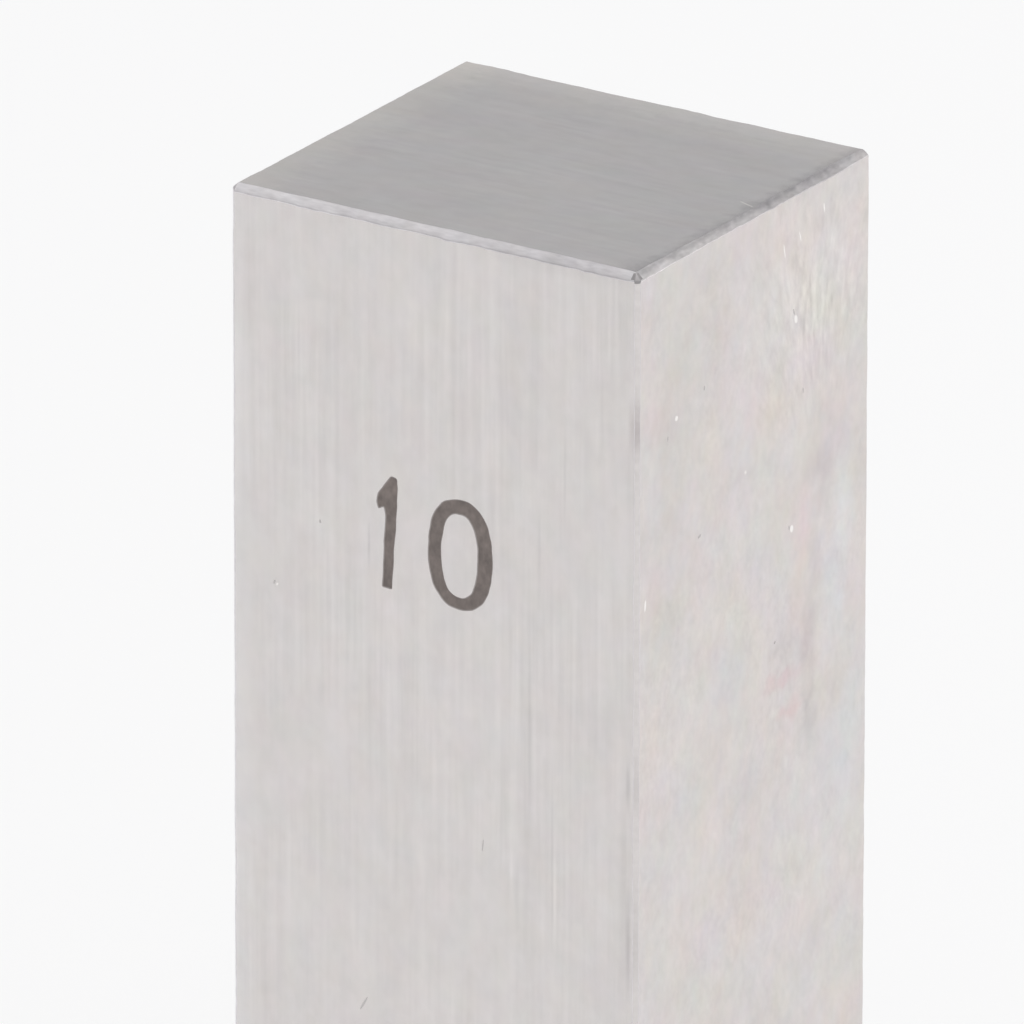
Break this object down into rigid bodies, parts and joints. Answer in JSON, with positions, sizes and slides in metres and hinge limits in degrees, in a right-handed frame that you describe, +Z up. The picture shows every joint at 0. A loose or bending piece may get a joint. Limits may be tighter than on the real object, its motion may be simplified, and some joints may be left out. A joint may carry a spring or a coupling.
{
  "type": "gauge block",
  "caption": "Rectangular steel gauge block, 10 mm between two lapped measuring faces, with fine stoned edge breaks, stood on an end face.",
  "frame": {"origin": "middle of the end face that the block stands on", "axes": "+Z up along the block's 30 mm height, +X out of one measuring face across the 10 mm gauge length, +Y from the marked side face to the plain one, across the 9 mm width"},
  "size_m": [0.01, 0.009, 0.03],
  "materials": {
    "lapped_steel": "ground side and end faces, lapped measuring faces"
  },
  "bodies": {
    "root": {"gauge_block": "lapped_steel"}
  },
  "joints": []
}
